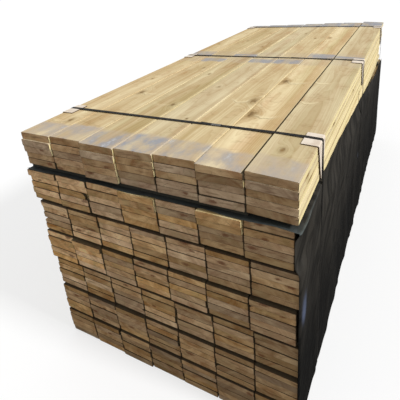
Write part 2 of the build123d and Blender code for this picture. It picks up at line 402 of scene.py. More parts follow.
    def end_stained_and_shaded(self, grain: Grain, colour: object) -> object:
        """Adds an end's own knot, its drying checks and its stains, and paints shade round its rim, beside
        its upright seams and along gaps between packets.

        Args:
            grain: The board's grain.
            colour: The wood's colour so far.

        Returns:
            The colour of the end.
        """
        add = grain.add
        k_across, k_up, k_size = grain.parts("end_knot")
        away = add("VectorMath SUBTRACT", add("CombineXYZ", grain.across, grain.up),
                   add("CombineXYZ", k_across, k_up))
        away = add("VectorMath LENGTH", add("VectorMath MULTIPLY", away, (0.42, 1.0, 1.0)))
        rough = grain.noise((190.0, 12.0, 190.0), 3.0, 0.6)
        stain = grain.noise((16.0, 5.0, 110.0), 3.0, 0.6)
        away = add(TIMES_PLUS, rough, 1.6, add(OVER, away, add(LARGER, k_size, 0.1 * MM)))
        colour = add(BLEND, add(SOFT_RAMP, away, 1.2, 2.2, 0.75, 0.0), colour, self.end_knot)
        colour = add(BLEND, add(SOFT_RAMP, stain, 0.5, 0.72, 0.0, 0.5), colour, self.end_stain)
        s_across, s_up, _ = add("SeparateXYZ", grain.section, out=None)
        turned = add(TIMES, add("Math ARCTAN2", s_up, s_across), 26.0)
        ray = add("CombineXYZ", turned, add(TIMES, add("VectorMath LENGTH", grain.section), 22.0))
        crack = add("TexNoise", {"Vector": ray, "Scale": 1.0, "Detail": 2.0, "Roughness": 0.6})
        # Painted shade round the end's rim, where it meets its neighbours.
        rim = add("Attribute", out=2, attribute_name="rim")
        rim_shade = add(SOFT_RAMP, add(TIMES_PLUS, rough, 2.4 * MM, rim), 1.0 * MM, 3.0 * MM, 0.8, 0.0)
        checks_and_shade = add(LARGER, add(SOFT_RAMP, crack, 0.66, 0.72, 0.0, 0.55), rim_shade)

        # Painted shade is darker beside an upright seam and along a gap between packets.
        uneven = add(TIMES, rough, 3.0 * MM)
        off_middle = add(PLUS, add("Math ABSOLUTE", grain.across), uneven)
        checks_and_shade = add(LARGER, checks_and_shade, add(SOFT_RAMP, off_middle, 73 * MM, 76 * MM, 0.0, 0.9))
        top_gap, bottom_gap, _ = grain.parts("gap")
        for wide, off in ((top_gap, add(MINUS, BOARD_THICKNESS, grain.up)), (bottom_gap, grain.up)):
            inside = add(MINUS, wide, add(PLUS, off, uneven))
            checks_and_shade = add(LARGER, checks_and_shade, add(SOFT_RAMP, inside, -1 * MM, 1.5 * MM, 0.0, 0.94))
        return add(BLEND, checks_and_shade, colour, self.checks_and_seam_shade)


@dataclass(frozen=True)
class BlackPolythene(Finish):
    """Black polythene film off a roll, used outdoors.

    Blown film is smooth, but handling creases it all over, so it shows a broken dull sheen. Its colour also
    holds painted sheen: lighter towards the top, the front and where folds stand out, light and dark along
    long creases, greyer along its top fold and its front lip, where dust lies too, and painted blue glints.
    """

    name: str = "black_polythene_film"
    film: str = "#040404"
    # The worn colour is also painted sheen: lighter towards the top, the front and where folds stand out
    worn: str = "#35322d"
    # Dust, and painted sheen along the top fold and the front lip
    dust: str = "#6b7474"
    # Painted blue glints
    glint: str = "#565f76"
    roughness: float = 0.52
    crease: float = 60 * MM  # one flat between creases
    pull_slope: float = 1.15  # how steeply the long creases run up to the back

    def surface(self, add: Adder) -> dict[str, object]:
        """Lays creases, wear, dust, painted sheen and painted glints over the film.

        Args:
            add: The function that adds a node.

        Returns:
            The shader's inputs, which read each place's dust and painted sheen, its wear and painted sheen,
            and its painted blue glints.
        """
        where = add("TexCoord", out=3)
        drawn = add("VectorMath MULTIPLY", where, (1.0, 1.0, 0.4))
        bent = add("TexNoise", {"Vector": drawn, "Scale": 9.0, "Detail": 2.0}, out=1)
        bent = add("VectorMath MULTIPLY_ADD", bent, (0.06, 0.06, 0.06), drawn)
        flats = add("TexVoronoi DISTANCE_TO_EDGE", {"Vector": bent, "Scale": 1 / self.crease})
        soft = add("TexNoise", {"Vector": drawn, "Scale": 24.0, "Detail": 4.0, "Roughness": 0.6})
        # The attribute holds dust with painted sheen, wear with painted sheen, and painted blue glints.
        dust_and_sheen_share, worn, blue = add("SeparateXYZ", add("Attribute", out=1, attribute_name="dust"), out=None)
        # Long creases run up to the back where the film was pulled that way, with painted light and shade
        # along them.
        _, y, z = add("SeparateXYZ", where, out=None)
        ridge = add(TIMES, add(TIMES_PLUS, z, -self.pull_slope, y), 16.0)
        runs = add(TIMES, add(TIMES_PLUS, y, self.pull_slope, z), 2.6)
        pulled = add("TexNoise", {"Vector": add("CombineXYZ", ridge, runs), "Scale": 1.0, "Detail": 2.0,
                                  "Roughness": 0.5, "Distortion": 0.8})
        pulled = add(SOFT_RAMP, pulled, 0.34, 0.62, 0.35, 1.2)
        # Painted sheen: the lighter worn colour where the attribute asks for it, in patches.
        worn = add(MINUS, add(TIMES_PLUS, soft, 0.5, worn), 0.25, use_clamp=True)
        colour = add(BLEND, add(TIMES, worn, pulled, use_clamp=True), self.film, self.worn)
        patchy = add("MapRange", soft, 0.3, 0.7, 0.55, 1.0)
        # Dust and painted sheen, then painted blue glints.
        for share, tint in ((dust_and_sheen_share, self.dust), (blue, self.glint)):
            colour = add(BLEND, add(TIMES, share, patchy, use_clamp=True), colour, tint)
        height = add(TIMES_PLUS, add(SOFT_RAMP, flats, 0.0, 0.16), 0.5, soft)
        height = add(TIMES_PLUS, pulled, 1.5, height)
        return {
            "Base Color": colour,
            "Roughness": add("MapRange", soft, 0.3, 0.7, self.roughness - 0.08, self.roughness + 0.14),
            "Normal": add("Bump", {"Strength": 0.5, "Distance": 3.0 * MM, "Height": height}),
            "IOR": 1.51,
            "Specular IOR Level": 0.12,
        }


@dataclass(frozen=True)
class PolyesterStrap(Finish):
    """Black polyester strapping, drawn and embossed.

    The rolls press fine ribs into it, which break its satin shine into short dashes.
    """

    name: str = "black_polyester_strap"
    body: str = "#120f0b"
    scuff: str = "#453d33"
    roughness: float = 0.5
    rib: float = 2.0 * MM

    def surface(self, add: Adder) -> dict[str, object]:
        """Lays ribs aslant over the strap's width, which is along Y, and scuffs its upper run.

        Args:
            add: The function that adds a node.

        Returns:
            The shader's inputs.
        """
        x, y, z = add("SeparateXYZ", add("TexCoord", out=3), out=None)
        run = add(MINUS, x, z)
        turns = 2 * math.pi / self.rib
        ridges = [add("Math SINE", add(TIMES, add(way, y, run), turns)) for way in (PLUS, MINUS)]
        worn = add("TexNoise", {"Vector": add("CombineXYZ", run, y), "Scale": 60.0, "Detail": 3.0})
        on_top = add("MapRange", add("SeparateXYZ", add("NewGeometry", out=3), out=2), 0.5, 0.9)
        share = add(TIMES, add("MapRange", worn, 0.5, 0.75, 0.0, 0.5), on_top)
        return {
            "Base Color": add(BLEND, share, self.body, self.scuff),
            "Roughness": add("MapRange", worn, 0.3, 0.7, self.roughness, self.roughness + 0.2),
            "Normal": add("Bump", {"Strength": 0.4, "Distance": 0.25 * MM, "Height": add(TIMES, *ridges)}),
            "IOR": 1.57,
            "Specular IOR Level": 0.25,
        }


@dataclass(frozen=True)
class GalvanisedSteel(Finish):
    """Galvanised steel strip, rolled and then crimped.

    Dull zinc with a faint crystal pattern, brighter where the crimping tool rubbed it.
    """

    name: str = "galvanised_steel_seal"
    zinc: str = "#6b6a68"
    rubbed: str = "#a3a19c"
    roughness: float = 0.45
    spangle: float = 5 * MM

    def surface(self, add: Adder) -> dict[str, object]:
        """Lays a spangle of the strip's own size over the zinc.

        Args:
            add: The function that adds a node.

        Returns:
            The shader's inputs.
        """
        where = add("TexCoord", out=3)
        cells = add("TexVoronoi", {"Vector": where, "Scale": 1 / self.spangle}, out=1)
        tone = add(TIMES, add("SeparateXYZ", cells), 0.6)
        grain = add("TexNoise", {"Vector": where, "Scale": 700.0, "Detail": 2.0})
        return {
            "Base Color": add(BLEND, tone, self.zinc, self.rubbed),
            "Roughness": add("MapRange", tone, 0.0, 1.0, self.roughness - 0.08, self.roughness + 0.15),
            "Normal": add("Bump", {"Strength": 0.25, "Distance": 0.1 * MM, "Height": grain}),
            "Metallic": 1.0,
        }


@dataclass(frozen=True)
class PressedBoard(Finish):
    """Edge board of glued and pressed paper, with a pale outer paper.

    Matt, faintly fibrous and a little dirty, with dirty brown layers showing at its cut edges.
    """

    name: str = "pressed_paper_board"
    paper: str = "#e9dccb"
    stain: str = "#c4af98"
    layers: str = "#54412f"
    roughness: float = 0.82
    fibre: float = 1.4 * MM

    def surface(self, add: Adder) -> dict[str, object]:
        """Lays fibres, handling stains and brown cut edges over the paper.

        Args:
            add: The function that adds a node.

        Returns:
            The shader's inputs.
        """
        where = add("TexCoord", out=3)
        drawn = add("VectorMath MULTIPLY", where, (1.0, 0.25, 1.0))
        fibres = add("TexNoise", {"Vector": drawn, "Scale": 1 / self.fibre, "Detail": 3.0})
        blots = add("TexNoise", {"Vector": where, "Scale": 28.0, "Detail": 4.0, "Roughness": 0.65})
        colour = add(BLEND, add("MapRange", blots, 0.45, 0.75, 0.0, 0.7), self.paper, self.stain)
        bright = add("MapRange", fibres, 0.3, 0.7, 0.9, 1.08)
        colour = add("HueSaturation", {"Value": bright, "Color": colour})
        # A cut edge faces along the pile, or to the pile's middle at the end of the leg that lies on top.
        n_x, n_y, _ = add("SeparateXYZ", add("NewGeometry", out=3), out=None)
        along = add("Math GREATER_THAN", add("Math ABSOLUTE", n_y), 0.25)
        inward = add("Math LESS_THAN", add(TIMES, n_x, add("SeparateXYZ", where)), -0.1)
        return {
            "Base Color": add(BLEND, add(LARGER, along, inward), colour, self.layers),
            "Roughness": add("MapRange", fibres, 0.0, 1.0, self.roughness - 0.06, self.roughness + 0.06),
            "Normal": add("Bump", {"Strength": 0.3, "Distance": 0.3 * MM, "Height": fibres}),
            "IOR": 1.5,
            "Specular IOR Level": 0.25,
        }


@dataclass(frozen=True)
class Blank:
    """One sawn length as the CAD gives it.

    The outline holds points across and up, in order round the section, and the ends are the places of
    its two ends along the length.
    """

    outline: np.ndarray
    ends: tuple[float, float]


def hull(points: np.ndarray) -> np.ndarray:
    """Finds the convex outline of points.

    Args:
        points: Rows of two numbers.

    Returns:
        The outline's corners, anticlockwise.
    """
    rows = sorted({(round(float(a), 6), round(float(b), 6)) for a, b in points})
    halves = []
    for order in (rows, rows[::-1]):
        half: list[tuple[float, float]] = []
        for p in order:
            while len(half) > 1 and ((half[-1][0] - half[-2][0]) * (p[1] - half[-2][1])
                                     - (half[-1][1] - half[-2][1]) * (p[0] - half[-2][0])) <= 1e-12:
                half.pop()
            half.append(p)
        halves += half[:-1]
    return np.array(halves)


def cut_corner(outline: np.ndarray, normal: tuple[float, float], depth: float) -> np.ndarray:
    """Takes a corner off a convex outline.

    Args:
        outline: Corners in order.
        normal: The way the cut faces.
        depth: How far the cut lies behind the outline's furthest point that way.

    Returns:
        The corners of what is left, in order.
    """
    way = np.array(normal) / math.hypot(*normal)
    level = outline @ way - ((outline @ way).max() - depth)
    kept = []
    for i, here in enumerate(outline):
        j = (i + 1) % len(outline)
        if level[i] <= 0:
            kept.append(here)
        if level[i] * level[j] < 0:
            kept.append(here + (outline[j] - here) * level[i] / (level[i] - level[j]))
    return np.array(kept)


def read_blanks(node: str, across: int, along: int) -> list[Blank]:
    """Reads the separate lengths of a CAD node.

    Args:
        node: The node's name.
        across: The world axis across the lengths.
        along: The world axis along the lengths.

    Returns:
        One blank for each length, in order across.
    """
    shape = bmesh.new()
    shape.from_mesh(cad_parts[node].data)
    bmesh.ops.remove_doubles(shape, verts=shape.verts, dist=1e-6)
    todo, blanks = set(shape.verts), []
    while todo:
        front = [min(todo, key=lambda v: v.index)]
        island = set(front)
        while front:
            near = {e.other_vert(v) for v in front for e in v.link_edges} - island
            island |= near
            front = list(near)
        todo -= island
        points = np.array([v.co[:] for v in island])
        blanks.append(Blank(hull(points[:, (across, UP)]), (points[:, along].min(), points[:, along].max())))
    shape.free()
    return sorted(blanks, key=lambda b: b.outline[:, 0].mean())


def tube_faces(rows: int, around: int) -> Faces:
    """Joins rows of points to a tube.

    Args:
        rows: How many rows there are.
        around: How many points a row has.

    Returns:
        The tube's faces, row by row.
    """
    return [(s + i, s + (i + 1) % around, s + around + (i + 1) % around, s + around + i)
            for s in range(0, (rows - 1) * around, around) for i in range(around)]


def placed(name: str, data: bpy.types.ID) -> bpy.types.Object:
    """Puts a mesh, a lamp or a camera in the scene.

    Args:
        name: The object's name.
        data: What it holds.

    Returns:
        The object.
    """
    made = bpy.data.objects.new(name, data)
    bpy.context.scene.collection.objects.link(made)
    return made


def stand_for(piece: bpy.types.Object, node: str) -> bpy.types.Object:
    """Lets a piece stand for a CAD node.

    Args:
        piece: The piece.
        node: The node's name.

    Returns:
        The same piece.
    """
    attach(piece, "root")
    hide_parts(node)
    return piece


@dataclass
class Look:
    """What sets one sawn length apart: its grain, colour, knots and marks, in metres."""

    heart: Triple = (0.0, -0.06, 3.6 * MM)  # where the pith lies across and up, and the rings' width
    tint: Triple = (0.0, 1.0, 0.0)  # a number of its own, how light and how grey it is
    weather: Triple = (0.0, WHOLE_LENGTH, 0.0)  # up to where and from where it is grey, and how much
    mark: Triple = (0.0, 0.0, 0.0)  # from where to where a bearer lay on it, and how much that shows
    knots: tuple[Triple, ...] = ()
    end_knot: Triple = NO_SPOT
    dirt: Triple = (0.0, 0.0, 0.0)  # how blue its weathered stain is, how far painted shade reaches in, and how much
    gap: Triple = (0.0, 0.0, 0.0)  # how high painted shade from a gap reaches over and under it

    def values(self) -> dict[str, Triple]:
        """Gives the attributes that the wood's material reads.

        Returns:
            Three numbers for each attribute's name.
        """
        knots = (list(self.knots) + [NO_SPOT] * 3)[:3]
        named = {f"knot_{i + 1}": knot for i, knot in enumerate(knots)}
        single = ("heart", "tint", "weather", "mark", "end_knot", "dirt", "gap")
        return {name: getattr(self, name) for name in single} | named


@dataclass
class MeshPile:
    """Several shapes gathered into one mesh."""

    points: list[np.ndarray] = field(default_factory=list)
    faces: Faces = field(default_factory=list)
    slots: list[int] = field(default_factory=list)
    values: dict[str, list[np.ndarray]] = field(default_factory=dict)
    count: int = 0

    def add(self, points: np.ndarray, faces: Faces, slots: list[int], values: dict[str, np.ndarray]) -> None:
        """Adds one shape.

        Args:
            points: Its points.
            faces: Its faces, by its own points' numbers.
            slots: The material of each face.
            values: Its attributes, one row or number a point.
        """
        self.faces += [tuple(i + self.count for i in face) for face in faces]
        self.points.append(points)
        self.slots += slots
        self.count += len(points)
        for name, rows in values.items():
            self.values.setdefault(name, []).append(rows)

    def build(self, name: str, materials: list[bpy.types.Material], sharp: float = 30.0) -> bpy.types.Object:
        """Makes the object.

        Args:
            name: The piece's name.
            materials: The materials that the slots number.
            sharp: The angle in degrees from which an edge is sharp.

        Returns:
            The object, linked to the scene.
        """
        mesh = bpy.data.meshes.new(name)
        mesh.from_pydata(np.concatenate(self.points).tolist(), [], self.faces)
        for material in materials:
            mesh.materials.append(material)
        mesh.polygons.foreach_set("material_index", self.slots)
        for key, parts in self.values.items():
            rows = np.concatenate(parts).astype(np.float32)
            flat = rows.ndim == 1
            layer = mesh.attributes.new(key, "FLOAT" if flat else "FLOAT_VECTOR", "POINT")
            layer.data.foreach_set("value" if flat else "vector", rows.ravel())
        mesh.shade_smooth()
        mesh.set_sharp_from_angle(angle=math.radians(sharp))
        mesh.validate()
        mesh.update()
        return placed(name, mesh)


@dataclass
class SawnLength:
    """Shapes one sawn length: slightly cupped, bowed, thinner in places, its ends a little out of square."""

    face_step: float = 18 * MM
    edge_step: float = 5.5 * MM
    stations: int = 12
    rings: tuple[float, ...] = (0.0, 1.3 * MM, 4.0 * MM, 9.5 * MM)
    cup: float = 0.5 * MM
    bow: float = 0.5 * MM
    skew: float = 1.2 * MM
    chip: float = 3.0 * MM
    chipped_share: float = 0.04
    behind_chip: float = 6 * MM

    def outline(self, corners: np.ndarray) -> np.ndarray:
        """Adds points along the outline's long edges.

        Args:
            corners: The outline's corners, in order.

        Returns:
            The points round the section, in order.
        """
        points = []
        for here, there in zip(corners, np.roll(corners, -1, axis=0)):
            reach = float(np.linalg.norm(there - here))
            parts = max(1, round(reach / (self.face_step if reach > 2 * BOARD_THICKNESS else self.edge_step)))
            points += [here + (there - here) * i / parts for i in range(parts)]
        return np.array(points)

    def shape(self, blank: Blank, look: Look, rng: np.random.Generator, pile: MeshPile,
              axes: tuple[int, int] = (ACROSS, ALONG)) -> None:
        """Adds one length to a pile of meshes.

        Args:
            blank: Where the CAD has it.
            look: What sets it apart.
            rng: Gives its small unevenness.
            pile: The mesh it goes to.
            axes: The world axes across and along it.
        """
        edges = zip(blank.outline, np.roll(blank.outline, -1, axis=0))
        run = max((there - here for here, there in edges), key=np.linalg.norm)
        tilt = math.atan(run[1] / run[0])
        turn = np.array([[math.cos(tilt), math.sin(tilt)], [-math.sin(tilt), math.cos(tilt)]])
        centre = (blank.outline.min(0) + blank.outline.max(0)) / 2
        own = (self.outline(blank.outline) - centre) @ turn.T
        half, around = np.abs(own).max(0), len(own)
        front, back = blank.ends
        phase = rng.uniform(0, 2 * math.pi, 8)[:3]
        size = rng.uniform(0.3, 1.0, 4) * np.array([self.cup, self.bow, self.bow, self.cup])
        lean = rng.uniform(-self.skew, self.skew, 4) * np.array([0.5, 0.15, 0.5, 0.15])

        def bent(flat: np.ndarray, at: float) -> np.ndarray:
            """Moves points of the section for the place along the length where they stand.

            Args:
                flat: The points, across and up from the section's middle.
                at: Their place along the length.

            Returns:
                The moved points.
            """
            u, w = flat[:, 0] / half[0], flat[:, 1] / half[1]
            wave = 0.5 + 0.5 * np.sin(at * 5.3 + phase[0] + 2.4 * u)
            down = size[0] * (u ** 2 * 0.7 + 0.3 * wave) * np.clip(w, 0, 1)
            rise = size[3] * (1 - u ** 2) * 0.7 * np.clip(-w, 0, 1)
            side = size[1] * np.sin(at * 2.1 + phase[1]) * 0.8
            thin = size[2] * (0.5 + 0.5 * np.sin(at * 3.7 + phase[2])) * u * 0.6
            return np.stack([flat[:, 0] + side - thin, flat[:, 1] - down + rise], 1)

        share = np.concatenate([[0.0, 0.006, 0.02], np.linspace(0.05, 0.95, self.stations),
                                [0.98, 0.994, 1.0]])
        places = front + share * (back - front)
        rows = [np.column_stack([bent(own, at), np.full(around, at)]) for at in places]
        end_rows = []
        for end, facing in ((0, -1.0), (1, 1.0)):
            lean_across, lean_up = lean[2 * end:2 * end + 2]
            chipped = rng.random(around) < self.chipped_share
            for ring in self.rings:
                level = blank.ends[end] + lean_across * own[:, 0] / half[0] + lean_up * own[:, 1] / half[1]
                level -= facing * (abs(lean_across) + abs(lean_up) + rng.uniform(0, 0.18 * MM, around))
                if ring == 0.0:
                    torn = np.where(chipped, rng.uniform(0.3, 1.0, around) * self.chip, 0)
                    level -= facing * (0.35 * MM + rng.uniform(0, 0.9, around) * MM + torn)
                flat = own * (1 - ring / (half + 1e-9))
                end_rows.append(np.column_stack([bent(flat, blank.ends[end]), level]))
        rows[0], rows[-1] = end_rows[0], end_rows[len(self.rings)]
        # The next station stays behind a chipped end.
        rows[1][:, 2] = np.maximum(rows[1][:, 2], rows[0][:, 2] + self.behind_chip)
        rows[-2][:, 2] = np.minimum(rows[-2][:, 2], rows[-1][:, 2] - self.behind_chip)

        faces = tube_faces(len(rows), around)
        slots = [FACE_SLOT] * len(faces)
        for end in (0, 1):
            inner = (len(rows) + end * len(self.rings)) * around
            for _ in self.rings[1:]:
                outer, inner = inner, inner + around
                for i in range(around):
                    j = (i + 1) % around
                    quad = (outer + i, inner + i, inner + j, outer + j)
                    faces.append(quad if end == 0 else quad[::-1])
            last = tuple(range(inner, inner + around))
            faces.append(last[::-1] if end == 0 else last)
        slots += [END_SLOT] * (len(faces) - len(slots))
        local = np.concatenate(rows + end_rows)
        spots = local[:, :2] @ turn + centre
        world = np.zeros((len(local), 3))
        world[:, axes[0]], world[:, UP], world[:, axes[1]] = spots[:, 0], spots[:, 1], local[:, 2]
        if axes[0] > axes[1]:
            faces = [face[::-1] for face in faces]
        values = {name: np.tile(value, (len(local), 1)) for name, value in look.values().items()}
        values["place"] = np.column_stack([local[:, 0], local[:, 2] - front, local[:, 1] + half[1]])
        from_rim = np.tile(np.repeat(self.rings, around), 2)
        values["rim"] = np.concatenate([np.zeros(len(rows) * around), from_rim])
        pile.add(world, faces, slots, values)


@dataclass(frozen=True)
class TopBoard:
    """A board of the top course as it shows: places in millimetres from its middle and its front end."""

    tone: float
    grey: float
    heart: tuple[float, float]
    knots: tuple[Triple, ...]
    mark: tuple[float, float]
    band: float
    blue: float = 0.5
    right_arris: float = 1.0
    sunk: float = 0.0  # how far its right-hand edge lies below its neighbour

    def look(self, column: int, length: float) -> Look:
        """Turns the board's facts to a look.

        Args:
            column: The board's column, from the left.
            length: The board's length in metres.

        Returns:
            The look, in metres.
        """
        return Look(
            heart=(self.heart[0] * MM, self.heart[1] * MM, 4.2 * MM),
            tint=(11.7 * column, self.tone, self.grey),
            weather=(self.band * MM, min(GREY_AGAIN, length - 0.1), 0.9),
            mark=(self.mark[0] * MM, self.mark[1] * MM, 0.9),
            knots=tuple((a * MM, b * MM, r * MM) for a, b, r in self.knots),
            # A sunk board gets painted shade along its sides and arrises, in the seam beside its neighbour.
            dirt=(self.blue, WHOLE_LENGTH, 0.95) if self.sunk else (self.blue, 0.0, 0.0),
        )

    def trimmed(self, blank: Blank) -> Blank:
        """Widens the arris along the board's right-hand edge and lets that edge's upper side sink.

        Args:
            blank: The board as the CAD has it.

        Returns:
            The trimmed board.
        """
        cut = cut_corner(blank.outline, (1.0, 1.0), self.right_arris * MM / math.sqrt(2))
        upper = np.clip((cut[:, 1] - cut[:, 1].min()) / BOARD_THICKNESS, 0, 1)
        cut[:, 1] -= self.sunk * MM * upper * (cut[:, 0] - cut[:, 0].min()) / BOARD_WIDTH
        return Blank(cut, blank.ends)


TOP_BOARDS = (
    TopBoard(1.04, 0.03, (20, -60), ((29, 157, 10), (-30, 1680, 5), (10, 760, 5)),
             (1317, 1434), 118, 0.5, 1.5),
    TopBoard(0.96, 0.00, (-30, -52), ((-52, 539, 11), (35, 1010, 6), (-10, 1800, 6)),
             (1158, 1253), 132, 0.5),
    TopBoard(0.90, 0.00, (10, -46), ((43, 429, 9), (-25, 905, 7), (20, 1610, 5)),
             (1328, 1391), 126, 0.9, 3.5),
    TopBoard(0.91, 0.06, (-15, -56), ((-26, 701, 7), (30, 300, 4), (40, 2100, 6)),
             (1168, 1264), 136, 1.1, 3.5),
    TopBoard(0.97, 0.00, (30, -50), ((50, 546, 14), (-40, 1240, 6), (-5, 1900, 6)),
             (1158, 1274), 122, 0.8, 4.0),
    TopBoard(1.10, 0.03, (-40, -75), ((-56, 416, 17), (-56, 850, 14), (-62, 1933, 9)),
             (1328, 1444), 116, 0.6, 6.5, 4.0),
    TopBoard(0.88, 0.04, (5, -62), ((-97, 590, 13), (-15, 157, 8), (-97, 862, 13)),
             (1328, 1391), 112, 0.4),
)

# Courses in which a board's right-hand edge gets no painted shade, so the lamp's light on it shows, by packet
# and column
LIT_EDGES = {(1, 1): (2, 3), (1, 3): (2, 3, 4, 5), (1, 4): (2, 3), (1, 6): (2,),
             (2, 4): (1, 2), (2, 6): (1, 2)}

# How light the ends are painted from the top packet to the bottom one, at the left and at the right: painted
# light and shade, lighter at the left than at the right and darkest at the bottom
LEFT_PAINTED_LIGHT = (1.06, 1.48, 1.47, 1.46, 1.18, 0.95, 0.80)
RIGHT_PAINTED_LIGHT = (0.84, 0.92, 0.92, 0.88, 0.84, 0.76, 0.70)

# Knots in the right-hand edges of the top packet's outer column, by course: along from the front and size
EDGE_KNOTS = {1: ((540, 8), (1180, 7)), 2: ((484, 11), (96, 9)), 3: ((963, 9), (123, 12)), 4: ((300, 8),)}


@dataclass
class BoardPile:
    """All packets of boards, seven boards to a course."""

    seed: int = 27
    end_tone: tuple[float, float] = (0.66, 1.3)
    upper_packet_grey: float = 0.10
    end_knot_share: float = 0.16
    # How dark the painted shade is, and how far it reaches in from the front: in seams, on a top face under a
    # gap, and beside the film
    dirt: float = 0.92
    dirt_reach: float = 14 * MM
    dirt_reach_on_top: float = 40 * MM
    dirt_beside_film: float = 0.3
    shaper: SawnLength = field(default_factory=SawnLength)
    top_shaper: SawnLength = field(default_factory=lambda: SawnLength(
        face_step=11 * MM, stations=26, cup=0.7 * MM))

    def build(self, pine: dict[Cut, bpy.types.Material]) -> list[bpy.types.Object]:
        """Makes one piece for each course.

        Args:
            pine: The wood's material for each way it is cut.

        Returns:
            The pieces, from the top down.
        """
        courses = [(packet, course) for packet in range(1, PACKETS + 1) for course in range(1, COURSES + 1)]
        return [self.course(packet, course, pine) for packet, course in courses]

    def course(self, packet: int, course: int, pine: dict[Cut, bpy.types.Material]) -> bpy.types.Object:
        """Makes the seven boards of one course.

        Args:
            packet: The packet, from the top.
            course: The course in its packet, from the top.
            pine: The wood's material for each way it is cut.

        Returns:
            The piece that stands for the CAD's course.
        """
        node = f"packet_{packet}_course_{course}"
        rng = np.random.default_rng([self.seed, packet, course])
        pile = MeshPile()
        top = (packet, course) == (1, 1)
        for column, blank in enumerate(read_blanks(node, ACROSS, ALONG), start=1):
            look = self.drawn_look(packet, course, column, rng)
            if top:
                board = TOP_BOARDS[column - 1]
                look = board.look(column, blank.ends[1] - blank.ends[0])
                self.top_shaper.shape(board.trimmed(blank), look, rng, pile)
            else:
                self.shaper.shape(self.worn(blank, rng), look, rng, pile)
        piece = pile.build(f"boards_{packet}_{course}", [pine[Cut.FACE], pine[Cut.END]])
        return stand_for(piece, node)

    def worn(self, blank: Blank, rng: np.random.Generator) -> Blank:
        """Wears a board's four edges, each by its own depth.

        Args:
            blank: The board as the CAD has it.
            rng: Where the depths come from.

        Returns:
            The worn board.
        """
        outline = blank.outline
        for way in ((1.0, 1.0), (-1.0, 1.0), (1.0, -1.0), (-1.0, -1.0)):
            outline = cut_corner(outline, way, rng.uniform(0.9, 1.7) * MM)
        return Blank(outline, blank.ends)

    def drawn_look(self, packet: int, course: int, column: int, rng: np.random.Generator) -> Look:
        """Draws the grain, colour and knots of a board that isn't on top.

        Args:
            packet: The packet, from the top.
            course: The course in its packet, from the top.
            column: The column, from the left.
            rng: Where the draws come from.

        Returns:
            The look.
        """
        heart_up = rng.uniform(5, 90)
        heart_up = -heart_up if rng.random() < 0.5 else heart_up + BOARD_THICKNESS / MM
        knots = tuple((rng.uniform(-75, 75) * MM, rng.uniform(150, 2350) * MM, rng.uniform(6, 13) * MM)
                      for _ in range(3))
        end_knot = NO_SPOT
        if rng.random() < self.end_knot_share:
            end_knot = (rng.uniform(-60, 60) * MM, rng.uniform(4, 23) * MM, rng.uniform(4, 8) * MM)
        tone = rng.uniform(*self.end_tone) ** 0.8
        # Painted light and shade across the pile's front, lighter at the left.
        share = (column - 1) / (COLUMNS - 1)
        tone *= LEFT_PAINTED_LIGHT[packet - 1] * (1 - share) + RIGHT_PAINTED_LIGHT[packet - 1] * share
        heart = (rng.uniform(-70, 70) * MM, heart_up * MM, rng.uniform(2.8, 5.0) * MM)
        grey = self.upper_packet_grey if packet == 1 else 0.0
        tint = (rng.uniform(10, 900), tone, grey + rng.uniform(-0.12, 0.14))

        outer = column == COLUMNS
        if packet == 1 and outer:
            knots = tuple((BOARD_WIDTH / 2, a * MM, r * MM) for a, r in EDGE_KNOTS.get(course, ()))
        # Painted shade reaches in from the front end, further on a top face under a gap, all along the outer
        # column's side behind the film, in the second packet only as far as the film covers it, and not at
        # all where the lamp lights the edge.
        reach = self.dirt_reach if course > 1 else self.dirt_reach_on_top
        if outer:
            reach = self.dirt_beside_film if packet == 2 else WHOLE_LENGTH
        lit = packet == 1 and outer or course in LIT_EDGES.get((packet, column), ())
        # Painted shade over the top course and under the bottom course, along the gaps between packets.
        over = (8 * MM if packet == 3 else 5 * MM) if course == 1 and packet > 2 else 0.0
        under = 3.5 * MM if course == COURSES and packet > 1 else 0.0
        return Look(heart=heart, tint=tint, knots=knots, end_knot=end_knot,
                    dirt=(0.0, reach, 0.0 if lit else self.dirt), gap=(over, under, 0.0))


@dataclass
class SpacerLayers:
    """Flat slats laid across between the packets."""

    seed: int = 95
    shaper: SawnLength = field(default_factory=lambda: SawnLength(
        face_step=14 * MM, stations=8, rings=(0.0, 1.0 * MM, 3.0 * MM), cup=0.25 * MM, chip=1.5 * MM))

    def build(self, pine: dict[Cut, bpy.types.Material]) -> list[bpy.types.Object]:
        """Makes one piece for each layer of slats.

        Args:
            pine: The slats' material for each way they are cut.

        Returns:
            The pieces, from the top down.
        """
        made = []
        for layer in range(1, PACKETS):
            rng = np.random.default_rng([self.seed, layer])
            pile = MeshPile()
            node = f"spacer_slats_{layer}"
            for blank in read_blanks(node, ALONG, ACROSS):
                look = Look(heart=(rng.uniform(-40, 40) * MM, -rng.uniform(10, 60) * MM, 3.4 * MM),
                            tint=(rng.uniform(10, 900), rng.uniform(0.8, 1.1), 0.1),
                            knots=((rng.uniform(-30, 30) * MM, rng.uniform(100, 900) * MM, 7 * MM),))
                self.shaper.shape(blank, look, rng, pile, axes=(ALONG, ACROSS))
            piece = pile.build(f"spacers_{layer}", [pine[Cut.FACE], pine[Cut.END]])
            made.append(stand_for(piece, node))
        return made


